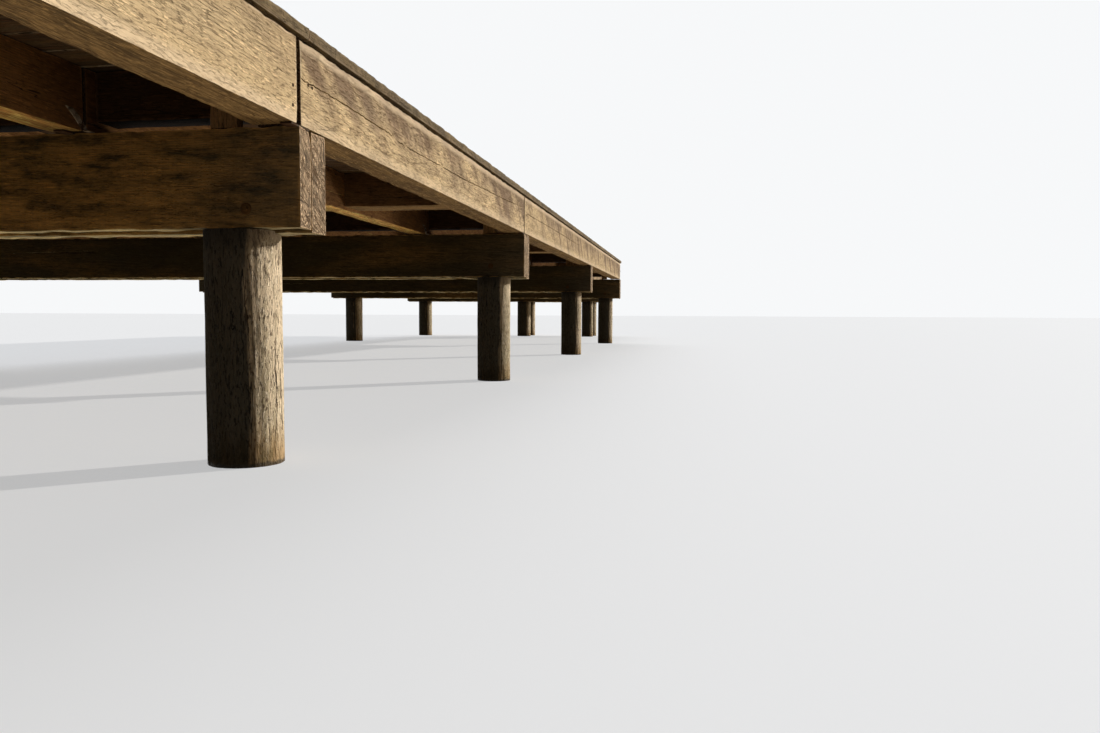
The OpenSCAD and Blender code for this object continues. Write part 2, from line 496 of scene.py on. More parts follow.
        self.colour = self.blend(on_end, sides, self.colour)
        height = stroke * 2.6 + torn * 3.0 - gouge * 1.6 - star * 1.6 - self.late * 0.3
        self.height = self.height + (height - self.height) * on_end


@dataclass(frozen=True)
class RoundWood:
    """Debarked round timber, with painted shade on the side away from the sun, stained and wet at the
    waterline.

    Attributes:
        name: The material's name.
        pale: The bleached wood.
        brown: The brown wood.
        dark: Strokes between the fibres.
        away_side_shade: What multiplies the colour on the side away from the sun: painted shade.
        sunny: The way its sunny side faces.
        wet_height: Up to where it is wet.
        stain_height: Up to where it is stained.
        moss_height: Up to where moss grows on it.
    """

    name: str = "pile_wood"
    pale: Triple = (0.77, 0.625, 0.435)
    brown: Triple = (0.40, 0.33, 0.20)
    dark: Triple = (0.105, 0.066, 0.036)
    away_side_shade: Triple = (0.15, 0.165, 0.175)
    sunny: Triple = (0.75, 0.66, 0.0)
    wet_height: float = 0.011
    stain_height: float = 0.17
    moss_height: float = 0.13

    def make(self) -> bpy.types.Material:
        """Writes the shader."""
        return RoundSheet(self).owner


class RoundSheet(WoodSheet):
    """Writes the round wood's shader, coat by coat."""

    def __init__(self, wood: RoundWood) -> None:
        """Lays the skin over swaying fibres, and the stains over that.

        Args:
            wood: The finish.
        """
        super().__init__(wood.name, (31.7, 17.3, 9.1))
        self.wood, self.still = wood, self.at
        sway = self.node("TexNoise", {"Vector": self.still, "Scale": 34.0, "Detail": 2.0}, "Color")
        self.at = self.still + sway * (0.0, 0.008, 0.008)
        self._skin()
        self._stains()

    def _skin(self) -> None:
        """Starts with wavering fibres, dark strokes, pale specks and long splits."""
        wood, still = self.wood, self.still
        broad = self.grit(1.6, 9.0, 4.0, 0.6, still)
        strand = self.grit(11.0, 80.0, 4.0, 0.6)
        thread = self.grit(40.0, 280.0, 3.0, 0.6)
        dash = self.grit(38.0, 150.0, 3.0, 0.55).rise(0.575, 0.62)
        spark = self.grit(45.0, 170.0, at=self.at + (3.7, 0.0, 5.1)).rise(0.57, 0.63)
        split = abs(self.grit(1.3, 22.0) - 0.5).rise(0.008, 0.001)
        split = split * self.grit(1.4, 9.0, at=still).rise(0.48, 0.56)
        shade = (broad + self.brown * 0.35 - 0.12).rise(0.36, 0.70) * 0.9
        self.colour = self.blend(shade, wood.pale, wood.brown)
        self.coat(strand.rise(0.48, 0.62) * 0.45, wood.brown)
        self.coat(thread.rise(0.50, 0.66) * 0.30, wood.dark)
        self.coat(spark * 0.6, (0.86, 0.74, 0.55))
        self.coat(dash * 0.75, wood.dark)
        self.coat(split * 0.85, (0.03, 0.02, 0.012))
        self.height = strand * 1.2 + thread * 0.7 - dash + spark - split * 2.0 + broad * 0.4

    def _stains(self) -> None:
        """Adds painted shade below the cap and on the side away from the sun, stain and moss at the foot,
        and the wet rim.
        """
        wood, still = self.wood, self.still
        above = self.parts(self.node("TexCoord", out="Object"))[2]
        facing = self.node("VectorMath", {0: self.normal, 1: wood.sunny}, "Value", operation="DOT_PRODUCT")
        patch = self.grit(6.0, 24.0, 4.0, 0.6, still) - 0.5
        # Painted shade: the skin right below the cap is darkened, fading out within about nine centimetres.
        cap_shade_paint = self.parts(self.half)[0] * 2.0 - above + patch * 0.10
        self.coat(cap_shade_paint.rise(0.09, 0.01) * 0.7, (0.150, 0.112, 0.076))
        ragged = above + (self.grit(3.0, 26.0, 4.0, 0.6, still) - 0.5) * 0.24
        self.coat(ragged.rise(wood.stain_height, 0.0) * 0.75, (0.36, 0.215, 0.080))
        moss = self.grit(9.0, 34.0, 4.0, 0.7, still).rise(0.46, 0.62)
        self.coat(ragged.rise(wood.moss_height, 0.01) * moss * 0.5, (0.090, 0.080, 0.025))
        # Painted shade: the side that faces away from the sun is multiplied darker.
        self.coat((facing + patch * 0.4).rise(0.04, -0.22), wood.away_side_shade, "MULTIPLY")
        wet = (above + patch * 0.03).rise(wood.wet_height + 0.006, wood.wet_height - 0.004)
        self.coat(wet * 0.8, (0.030, 0.022, 0.012))
        rough = self.grit(34.0, 340.0) * 0.2 + 0.72 - wet * 0.4
        self.dress(rough, self.height, 0.0055, Specular_IOR_Level=0.10)


@dataclass(frozen=True)
class DullSteel:
    """Galvanised or rusted steel.

    Attributes:
        name: The material's name.
        light: The brighter flakes.
        shade: The duller flakes.
        rust: How far it has rusted, from 0 to 1.
        metallic: How metallic the bare steel looks.
        dull: Roughness of the bare steel.
        flush: Colour of the rust.
    """

    name: str
    light: Triple
    shade: Triple
    rust: float = 0.5
    metallic: float = 0.0
    dull: float = 0.6
    flush: Triple = (0.055, 0.030, 0.015)

    def make(self) -> bpy.types.Material:
        """Writes the shader.

        Returns:
            The material.
        """
        sheet = Sheet(bpy.data.materials.new(self.name))
        sheet.at = sheet.node("TexCoord", out="Object")
        flake = sheet.parts(sheet.node("TexVoronoi", {"Vector": sheet.at, "Scale": 140.0}, "Color"))[0]
        cloud = sheet.grit(40.0, 40.0, 4.0, 0.6)
        bare = 0.60 - self.rust * 0.4
        rust = sheet.grit(24.0, 24.0, 5.0, 0.7).rise(bare, bare + 0.14)
        sheet.colour = sheet.blend(flake * 0.6 + cloud * 0.4, self.shade, self.light)
        sheet.coat(rust, self.flush)
        rough = self.dull + cloud * 0.1 + rust * 0.15
        metal = self.metallic - rust * self.metallic
        return sheet.dress(rough, cloud + rust * 0.8, 0.0004, Metallic=metal, Specular_IOR_Level=0.05)


@dataclass(frozen=True)
class PaleGround:
    """Plain floor that shows pale, keeps shadows and throws a little warm light back up.

    Attributes:
        name: The material's name.
        shown: Its colour to the eye and in reflections.
        bounce: Its colour to the light that it throws back.
        glow: How far shadows on it are lifted, from 0 to 1.
    """

    name: str = "pale_floor"
    shown: Triple = (0.86, 0.87, 0.88)
    bounce: Triple = (0.14, 0.10, 0.06)
    glow: float = 0.55

    def make(self) -> bpy.types.Material:
        """Writes the shader.

        Returns:
            The material.
        """
        sheet = Sheet(bpy.data.materials.new(self.name))
        seen = sheet.seen()
        sheet.colour = sheet.blend(seen, self.bounce, self.shown)
        sheet.dress(0.9)
        lit = Wire(sheet, sheet.tree.nodes["Principled BSDF"].outputs[0])
        glow = sheet.node("Emission", {"Color": self.shown, "Strength": 1.0})
        mixed = sheet.node("MixShader", {0: seen * self.glow, 1: lit, 2: glow})
        sheet.feed(sheet.tree.nodes["Material Output"].inputs["Surface"], mixed)
        return sheet.owner


Finish = SawnWood | RoundWood | DullSteel | PaleGround


@cache
def material(finish: Finish) -> bpy.types.Material:
    """A finish's material, written the first time that a piece asks for it."""
    return finish.make()


# Solids


def wave(x: float, y: float, z: float, seed: Vector = NOWHERE) -> float:
    """Smooth noise from -1 to 1."""
    return noise.noise(Vector((x, y, z)) + seed)


def spanning(solid: bmesh.types.BMesh, axis: int, length: float) -> list[bmesh.types.BMEdge]:
    """The edges that reach farther than a length along one axis."""
    return [e for e in solid.edges if abs(e.verts[0].co[axis] - e.verts[1].co[axis]) > length]


@dataclass(frozen=True)
class Check:
    """A drying crack along one side of a timber, in the timber's own coordinates.

    Attributes:
        side: 1 or -1, which side it opens.
        route: Where it runs, as places along the grain and heights, both from the middle.
        depth: How deep it is.
        width: How wide it opens.
        reach: How far above and below it the wood gives way to its wandering.
        wanders: Its wandering, each time as a size, a frequency and a seed.
    """

    side: int
    route: tuple[tuple[float, float], ...]
    depth: float = 0.010
    width: float = 0.0045
    reach: float = 0.065
    wanders: tuple[Triple, ...] = ((0.003, 4.0, 3.0), (0.003, 19.0, 7.0), (0.0045, 52.0, 11.0))

    @property
    def height(self) -> float:
        """Its mean height."""
        return sum(height for _, height in self.route) / len(self.route)

    def _course(self, along: float) -> float:
        """Finds the route's height.

        Args:
            along: The place along the grain.

        Returns:
            The height there.
        """
        for (x0, z0), (x1, z1) in zip(self.route, self.route[1:]):
            if along <= x1:
                share = min(max((along - x0) / (x1 - x0), 0.0), 1.0)
                return z0 + (z1 - z0) * share * share * (3.0 - 2.0 * share)
        return self.route[-1][1]

    def open(self, at: Vector, half: Vector) -> Vector:
        """How a point of the timber moves to open the crack.

        Args:
            at: The point, from the timber's middle.
            half: The timber's half size.

        Returns:
            The move.
        """
        near = 1.0 - abs(at.z - self.height) / self.reach
        if at.y * self.side < half.y - TOUCH or near <= 0.0:
            return Vector()
        start, stop = self.route[0][0], self.route[-1][0]
        share = (at.x - start) / (stop - start)
        wander = self._course(at.x) - self.height
        for size, pace, seed in self.wanders:
            wander += size * wave(at.x * pace, start, seed)
        depth = 0.0
        if abs(at.z - self.height) < TOUCH and 0.0 < share < 1.0:
            uneven = 0.70 + 1.3 * wave(at.x * 13.0, stop, 1.0)
            depth = self.depth * min(1.0, 25.0 * share, 7.0 * (1.0 - share)) * min(max(uneven, 0.04), 1.0)
        return Vector((0.0, -self.side * depth, wander * near))


@dataclass(frozen=True)
class Chip:
    """A knocked-off corner: points near it sink towards the timber's middle line.

    Attributes:
        at: The corner, from the timber's middle.
        depth: How deep the wood is gone at the corner.
        radius: How far round it the wood is gone.
    """

    at: Vector
    depth: float
    radius: float = 0.032

    def sink(self, point: Vector) -> Vector:
        """How a point of the timber moves.

        Args:
            point: The point, from the timber's middle.

        Returns:
            The move.
        """
        far = (point - self.at).length
        if far >= self.radius:
            return Vector()
        rough = 0.8 + 0.5 * noise.noise(point * 60.0)
        inward = Vector([-math.copysign(pull, part) for pull, part in zip((0.5, 0.6, 1.0), point)])
        return inward * self.depth * rough * (1.0 - far / self.radius) ** 0.6


@dataclass
class Timber:
    """One sawn timber: a box with eased, worn arrises and slightly uneven faces.

    Attributes:
        lo: Lowest corner in the jetty's frame.
        hi: Highest corner.
        axis: Which way its grain runs.
        tone: Two seeds and how brown it is, each from 0 to 1.
        arris: Width of the eased corners.
        wear: How deep the arrises are worn in places.
        swell: How uneven the faces are.
        pitch: Distance between the slices along the grain.
        rows: Lines along the sides, between the arrises.
        checks: Its drying cracks.
        chips: Its knocked-off corners.
    """

    lo: Vector
    hi: Vector
    axis: Axis
    tone: Vector
    arris: float = 0.004
    wear: float = 0.003
    swell: float = 0.0012
    pitch: float = 0.06
    rows: int = 1
    checks: tuple[Check, ...] = ()
    chips: tuple[Chip, ...] = ()

    def __post_init__(self) -> None:
        """Cuts a box into rows and slices, wears each point and puts the timber in its place."""
        size = self.hi - self.lo
        self.half = Vector([size[k] / 2 for k in self.axis.value])
        self.solid = bmesh.new()
        bmesh.ops.create_cube(self.solid, size=2.0, matrix=Matrix.Diagonal((*self.half, 1.0)))
        bmesh.ops.bevel(self.solid, geom=self.solid.edges[:], offset=self.arris, segments=2, profile=0.5,
                        affect="EDGES", material=-1)
        for height in self._heights():
            everything = self.solid.verts[:] + self.solid.edges[:] + self.solid.faces[:]
            bmesh.ops.bisect_plane(self.solid, geom=everything, plane_co=(0, 0, height), plane_no=(0, 0, 1))
        cuts = max(1, round(2 * self.half.x / self.pitch))
        lengthwise = spanning(self.solid, 0, self.half.x)
        bmesh.ops.subdivide_edges(self.solid, edges=lengthwise, cuts=cuts, use_grid_fill=True)
        self.grain = [vert.co.copy() for vert in self.solid.verts]
        for vert in self.solid.verts:
            vert.co += self._worn(vert.co)
        turn = Matrix([[float(row == k) for row in self.axis.value] for k in range(3)]).to_4x4()
        place = Matrix.Translation((self.lo + self.hi) / 2) @ turn
        bmesh.ops.transform(self.solid, matrix=place, verts=self.solid.verts)

    def _heights(self) -> list[float]:
        """Finds where the sides are cut into rows.

        Returns:
            The rows' heights, with three at each drying crack.
        """
        step = 2 * self.half.z / (self.rows + 1)
        heights = [step * (k + 1) - self.half.z for k in range(self.rows)]
        for check in self.checks:
            heights = [h for h in heights if abs(h - check.height) > 2 * check.width]
            heights += [check.height + check.width * k / 2 for k in (-1, 0, 1)]
        return heights

    def _worn(self, at: Vector) -> Vector:
        """How far age has moved a point, always into the timber but along its cracks.

        Args:
            at: The point, from the timber's middle.

        Returns:
            The move.
        """
        seed = self.tone * 40.0
        gap = [self.half[k] - abs(at[k]) for k in range(3)]
        inward = Vector([-math.copysign(1.0, part) for part in at])
        move = Vector()
        for k in range(3):
            if gap[k] < TOUCH:
                move[k] += self.swell * (0.5 + 0.5 * noise.noise(at * 9.0 + seed)) * inward[k]
        if gap[1] + gap[2] < 2.2 * self.arris:
            corner = Vector((at.x * 16.0, inward.y * 5.0, inward.z * 3.0))
            ragged = max(0.0, noise.noise(corner + seed) + 0.25 + 0.5 * noise.noise(corner * 3.1 + seed))
            move.y += self.wear * ragged * inward.y
            move.z += self.wear * ragged * inward.z
        if gap[0] < self.arris and gap[1] + gap[2] < 4.0 * self.arris:
            move.x += self.wear * max(0.0, noise.noise(at * 45.0 + seed)) * inward.x
        for check in self.checks:
            move += check.open(at, self.half)
        for chip in self.chips:
            move += chip.sink(at)
        return move


@dataclass
class Pole:
    """One round pile: split along the grain, a little out of round, its head stepped for the cap.

    Attributes:
        centre: Its middle at the waterline.
        radius: Its radius.
        height: Up to the underside of the cap's shore-side plank.
        step_y: Where the deeper plank starts.
        step: How much deeper that plank is.
        tone: Two seeds and how brown it is.
        splits: Directions of its long splits, in radians from +X.
        sides: Facets round it.
        rings: Rings up it.
    """

    centre: Vector
    radius: float
    height: float
    step_y: float
    step: float
    tone: Vector
    splits: tuple[float, ...]
    sides: int = 144
    rings: int = 40

    def __post_init__(self) -> None:
        """Turns the pile, sinks its skin, puts it in its place and steps its head."""
        self.half = Vector((self.height / 2, self.radius, self.radius))
        self.solid = bmesh.new()
        middle = Matrix.Translation((0.0, 0.0, self.height / 2))
        bmesh.ops.create_cone(self.solid, cap_ends=True, segments=self.sides, radius1=self.radius,
                              radius2=self.radius, depth=self.height, matrix=middle)
        upright = spanning(self.solid, 2, self.height / 2)
        bmesh.ops.subdivide_edges(self.solid, edges=upright, cuts=self.rings, use_grid_fill=True)
        self.grain = [Vector((vert.co.z, vert.co.x, vert.co.y)) for vert in self.solid.verts]
        for vert in self.solid.verts:
            share = 1.0 - self._sunk(vert.co) / self.radius
            vert.co = Vector((vert.co.x * share, vert.co.y * share, vert.co.z))
        bmesh.ops.translate(self.solid, vec=self.centre, verts=self.solid.verts)
        for vert in self.solid.verts:
            top = self.height - (self.step if vert.co.y > self.step_y else 0.0)
            vert.co.z = min(vert.co.z, top)

    def _sunk(self, at: Vector) -> float:
        """How far a point of the skin lies inside the full radius.

        Args:
            at: The point, from the pile's foot.

        Returns:
            The depth.
        """
        seed = self.tone * 50.0
        lump = 0.5 + 0.5 * wave(at.x * 7.0, at.y * 7.0, at.z * 1.5, seed)
        cord = 0.5 + 0.5 * wave(at.x * 62.0, at.y * 62.0, at.z * 5.0, seed)
        strand = 0.5 + 0.5 * wave(at.x * 150.0, at.y * 150.0, at.z * 11.0, seed)
        sunk = 0.003 * lump + 0.0028 * cord * cord + 0.0016 * strand
        angle = math.atan2(at.y, at.x)
        for split in self.splits:
            wander = 0.09 * wave(at.z * 2.2, split, 0.0, seed)
            off = abs((angle - split - wander + math.pi) % (2 * math.pi) - math.pi)
            ends = max(0.0, 0.65 + wave(at.z * 1.9, split * 3.0, 5.0, seed))
            sunk += 0.004 * min(ends, 1.0) * max(0.0, 1.0 - off * self.sides / (1.2 * math.pi))
        return sunk


# Sub-assemblies


def placed(name: str, data: bpy.types.ID) -> bpy.types.Object:
    """Puts a new object into the scene.

    Args:
        name: Its name.
        data: Its mesh, light or camera.

    Returns:
        The object.
    """
    made = bpy.data.objects.new(name, data)
    bpy.context.scene.collection.objects.link(made)
    return made


@dataclass
class SubAssembly:
    """What every sub-assembly has: one object of solids, each with its own grain.

    Attributes:
        name: Its object's name, also the seed of its random draws.
        node: The frame's node that it stands for, if there is one.
    """

    finish: ClassVar[Finish]
    slot: ClassVar[Slot | None] = None

    name: str
    node: str = ""

    def __post_init__(self) -> None:
        """Seeds the draws, so that each run gives the same jetty, and starts an empty mesh."""
        self.draws = random.Random(self.name)
        self.mesh = bmesh.new()
        self.carried: dict[str, list[float]] = {key: [] for key in CARRIED}
        if self.node:
            self.low, self.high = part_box(self.node)

    def tone(self, low: float = 0.2, high: float = 0.8) -> Vector:
        """Two seeds and a brownness between low and high."""
        return Vector((self.draws.random(), self.draws.random(), self.draws.uniform(low, high)))

    def take(self, solid: bmesh.types.BMesh, grain: list[Vector] | None = None,
             half: Vector = NOWHERE, tone: Vector = NOWHERE) -> None:
        """Adds a solid with its faces outwards.

        Args:
            solid: The solid, in its place.
            grain: The grain coordinates of its points, if it has a grain.
            half: Its half size.
            tone: Its seeds and brownness.
        """
        bmesh.ops.recalc_face_normals(solid, faces=solid.faces)
        for point in grain or [NOWHERE] * len(solid.verts):
            for key, vector in zip(CARRIED, (point, half, tone)):
                self.carried[key].extend(vector)
        scratch = bpy.data.meshes.new("scratch")
        solid.to_mesh(scratch)
        solid.free()
        self.mesh.from_mesh(scratch)
        bpy.data.meshes.remove(scratch)

    def add(self, part: Timber | Pole) -> None:
        """Adds a timber or a pole."""
        self.take(part.solid, part.grain, part.half, part.tone)

    def shape(self) -> None:
        """Adds all the sub-assembly's solids."""
        raise NotImplementedError

    def build(self) -> bpy.types.Object:
        """Makes the object, dresses it and lets it ride on the frame.

        Returns:
            The object.
        """
        self.shape()
        data = bpy.data.meshes.new(self.name)
        self.mesh.to_mesh(data)
        self.mesh.free()
        data.shade_smooth()
        data.set_sharp_from_angle(angle=SHARP_ANGLE)
        for key, numbers in self.carried.items():
            data.attributes.new(key, "FLOAT_VECTOR", "POINT").data.foreach_set("vector", numbers)
        data.materials.append(material(self.finish))
        made = placed(self.name, data)
        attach(made, ROOT)
        if self.node:
            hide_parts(self.node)
        return made


@dataclass(kw_only=True)
class Cap(SubAssembly):
    """Two planks on edge over the piles, open at the seam.

    Attributes:
        near_plank: Thickness of the shore-side plank.
        seam: The open seam.
        drop: How much deeper the water-side plank is.
        chip: How deep the near plank's top corner on the right is knocked off.
        brown: Least and most brown that the planks are.
    """

    slot = Slot.CAP
    # Painted light: the bright under colour on the caps' undersides. Painted shade: the near-black brown
    # that the caps beyond the second take.
    finish = SawnWood(
        "cap_wood", pale=(0.62, 0.38, 0.130), brown=(0.060, 0.049, 0.023), dark=(0.044, 0.033, 0.016),
        under=(0.86, 0.76, 0.42), end=(0.35, 0.25, 0.156), mottle=0.25, clouds=0.95, streaks=0.3,
        bands=0.45, saw=0.3, grey=0.06, green=0.25, tip=(0.16, 0.14, 0.10), tips=0.45, figure=0.0,
        cracks=0.4,
    )

    near_plank: float = 0.075
    seam: float = 0.003
    drop: float = 0.008
    chip: float = 0.0
    brown: tuple[float, float] = (0.86, 0.95)

    def shape(self) -> None:
        """Lays the shore-side plank and the deeper one behind it."""
        low, high = self.low, self.high
        split = low.y + self.near_plank
        spans = {
            -1: (Vector((low.x, low.y, low.z + self.drop)), Vector((high.x, split, high.z))),
            1: (Vector((low.x, split + self.seam, low.z)), high),
        }
        for side, (first, last) in spans.items():
            half = (last - first) / 2
            start = self.draws.uniform(-0.9, 0.2) * half.x
            stop = start + self.draws.uniform(0.5, 1.2)
            height = self.draws.uniform(-0.08, 0.08)
            self.add(Timber(
                first, last, Axis.X, self.tone(*self.brown), wear=0.005, swell=0.002, pitch=0.04, rows=13,
                checks=(Check(side, ((start, height), (stop, height + 0.012)), 0.006, 0.003),),
                chips=(Chip(half, self.chip),) if side < 0 and self.chip else (),
            ))


@dataclass(kw_only=True)
class Piles(SubAssembly):
    """The round piles of one bent.

    Attributes:
        cap: The cap that they carry.
        left: Diameter of the left-hand pile.
        right: Diameter of the right-hand pile.
        middle: Middle of a third pile across the jetty, if there is one.
        splits: Long splits of the piles from left to right.
        brown: Least and most brown that they are.
    """

    slot = Slot.PILE
    finish = RoundWood()

    cap: Cap
    left: float = 0.280
    right: float = 0.236
    middle: float | None = None
    splits: tuple[float, ...] = (-1.2, 0.05)
    brown: tuple[float, float] = (0.3, 0.9)

    def shape(self) -> None:
        """Turns the piles from left to right."""
        cap = self.cap
        across = [(self.low.x + self.left / 2, self.left), (self.high.x - self.right / 2, self.right)]
        if self.middle is not None:
            across.insert(1, (self.middle, self.left))
        for count, (x, diameter) in enumerate(across):
            turn = self.splits[count % len(self.splits)]
            self.add(Pole(
                centre=Vector((x, (cap.low.y + cap.high.y) / 2, 0.0)),
                radius=diameter / 2,
                height=cap.low.z + cap.drop,
                step_y=cap.low.y + cap.near_plank + cap.seam,
                step=cap.drop,
                tone=self.tone(*self.brown),
                splits=(turn, turn + self.draws.uniform(1.8, 2.4), turn - self.draws.uniform(1.6, 2.6)),
            ))


@dataclass(kw_only=True)
class OuterBeam(SubAssembly):
    """One outer beam of one bay.

    Attributes:
        brown: How brown it is, from 0 to 1.
        shrunk: How much shorter it has become at its near and its far end.
        checks: Its long drying cracks.
    """

    slot = Slot.BEAM
    # Painted shade: the default under colour darkens the beams' undersides.
    finish = SawnWood(
        "beam_wood", end=(0.15, 0.100, 0.058), drift=0.35, foot=0.6, mottle=0.35, streaks=0.8,
        cracks=0.12, relief=0.0022,
    )

    brown: float = 0.45
    shrunk: tuple[float, float]
    checks: tuple[Check, ...] = ()

    def shape(self) -> None:
        """Saws the beam."""
        tone = self.tone()
        tone.z = self.brown
        low = self.low + Vector((0.0, self.shrunk[0], 0.0))
        high = self.high - Vector((0.0, self.shrunk[1], 0.0))
        self.add(Timber(low, high, Axis.Y, tone, swell=0.0015, pitch=0.014, rows=5, checks=self.checks))


@dataclass(kw_only=True)
class Joists(SubAssembly):
    """The inner joists of one bay.

    Attributes:
        width: Thickness of a joist.
        count: How many there are.
        brown: The least and the most brown that they are, from 0 to 1.
    """

    slot = Slot.JOIST
    # Painted light: the bright under colour on the joists' undersides.
    finish = SawnWood(
        "joist_wood", pale=(0.42, 0.220, 0.080), brown=(0.26, 0.130, 0.046), dark=(0.085, 0.040, 0.014),
        end=(0.07, 0.040, 0.018), under=(0.80, 0.47, 0.18), mottle=0.35, streaks=0.35, grey=0.04,
        knots=1.0, tips=0.6, tip_length=0.30, figure=0.4,
    )

    width: float = 0.110
    count: int
    brown: tuple[float, float]

    def middles(self) -> list[float]:
        """Where the joists' middle lines lie across the jetty."""
        first, last = self.low.x + self.width / 2, self.high.x - self.width / 2
        return [first + (last - first) * k / (self.count - 1) for k in range(self.count)]

    def shape(self) -> None:
        """Saws the joists from left to right."""
        for x in self.middles():
            start = self.draws.uniform(-1.3, 0.2)
            height = self.draws.uniform(-0.04, 0.04)
            self.add(Timber(
                Vector((x - self.width / 2, self.low.y, self.low.z)),
                Vector((x + self.width / 2, self.high.y, self.high.z)),
                Axis.Y, self.tone(*self.brown), arris=0.003, pitch=0.05, rows=3,
                checks=(Check(1, ((start, height), (start + 1.1, height + 0.01)), 0.006, 0.003),),
            ))


@dataclass(kw_only=True)
class Noggings(SubAssembly):
    """Two rows of noggings between the long timbers of one bay.

    Attributes:
        joists: The bay's joists.
        cap_row: Thickness and depth of the noggings over the cap.
        mid_row: Thickness and depth of the wider noggings out in the bay.
        inner: Inner faces of the outer beams, left and right.
        closer: Right-hand end of the piece that closes a step in the jetty's edge, if there is one.
    """

    slot = Slot.NOGGING
    # Painted shade: browns far darker than the joists', and a dark under colour.
    finish = SawnWood(
        "nogging_wood", pale=(0.22, 0.128, 0.060), brown=(0.085, 0.047, 0.021), dark=(0.036, 0.019, 0.008),
        under=(0.23, 0.152, 0.070), underside_share=1.0, mottle=0.35, streaks=0.35, grey=0.05, knots=1.0,
        figure=0.3,
    )

    joists: Joists
    cap_row: tuple[float, float] = (0.100, 0.155)
    mid_row: tuple[float, float] = (0.200, 0.180)
    inner: tuple[float, float]
    closer: float | None = None

    def shape(self) -> None:
        """Fits the row over the cap, then the row out in the bay."""
        half = self.joists.width / 2
        faces = [side for x in self.joists.middles() for side in (x - half, x + half)]
        sides = [self.inner[0], *faces, self.inner[1]]
        rows = ((self.low.y, *self.cap_row), (self.high.y - self.mid_row[0], *self.mid_row))
        spans = [(sides[k], sides[k + 1], *row) for row in rows for k in range(0, len(sides), 2)]
        if self.closer is not None:
            spans.append((self.inner[1] + BEAM_THICKNESS, self.closer, *rows[0]))
        # The row over the cap takes the brownest tone, which turns its undersides near-black: painted
        # shade.
        for left, right, y, thickness, depth in spans:
            self.add(Timber(
                Vector((left, y, self.high.z - depth)), Vector((right, y + thickness, self.high.z)), Axis.X,
                self.tone(0.98, 1.0) if y == self.low.y else self.tone(0.2, 0.7), arris=0.003, pitch=0.08,
            ))


@dataclass(kw_only=True)
class Deck(SubAssembly):
    """The boards of one bay, laid across the joists with open joints.

    Attributes:
        joists: The bay's joists, which the nails go into.
        right: Right-hand end of the boards.
        step: Where boards run on to a wider edge: their left-hand ends and where they stop.
        pitch: About how far the boards lie apart.
        gap: Open joint between two boards.
        nail_shares: Where the nails sit across a board.
        nail_jog: How far they stray.
    """

    slot = Slot.BOARD
    # Painted shade: the near-black under colour on the boards' undersides.
    finish = SawnWood(
        "board_wood", pale=(0.47, 0.40, 0.30), brown=(0.30, 0.235, 0.165), dark=(0.12, 0.088, 0.058),
        under=(0.034, 0.015, 0.006), underside_share=1.0, grey=0.55, green=0.22, saw=0.1, streaks=0.4,
        knots=1.0,
    )

    joists: Joists
    right: float
    step: tuple[float, float] | None = None
    pitch: float = 0.148
    gap: float = 0.006
    nail_shares: tuple[float, ...] = (0.22, 0.78)
    nail_jog: float = 0.006
    nails: list[Vector] = field(default_factory=list)

    def shape(self) -> None:
        """Lays the boards and notes where their nails go."""
        self._lay(self.low.x, self.right, self.high.y, self.joists.middles())
        if self.step is not None:
            self._lay(self.step[0], self.high.x, self.step[1], [])

    def _lay(self, left: float, right: float, stop: float, nailed: list[float]) -> None:
        """Lays boards from the bay's start, their ends a little uneven.

        Args:
            left: Their left-hand ends.
            right: Their right-hand ends.
            stop: Where the last one stops.
            nailed: Middle lines of the joists that they are nailed to.
        """
        run = stop - self.low.y
        count = max(1, round(run / self.pitch))
        pitch = (run + self.gap) / count
        for k in range(count):
            y = self.low.y + k * pitch
            low, high = Vector((left, y, self.low.z)), Vector((right, y + pitch - self.gap, self.high.z))
            low.x += self.draws.uniform(0.0, 0.003)
            high.x -= self.draws.uniform(0.0, 0.003)
            high.z -= self.draws.uniform(0.0, 0.0015)
            self.add(Timber(low, high, Axis.X, self.tone(0.15, 0.9), wear=0.002, swell=0.001, pitch=0.16,
                            rows=0))
            for x, share in ((x, share) for x in nailed for share in self.nail_shares):
                jog = self.draws.uniform(-self.nail_jog, self.nail_jog)
                self.nails.append(Vector((x + jog, y + share * (pitch - self.gap) + jog, self.high.z)))


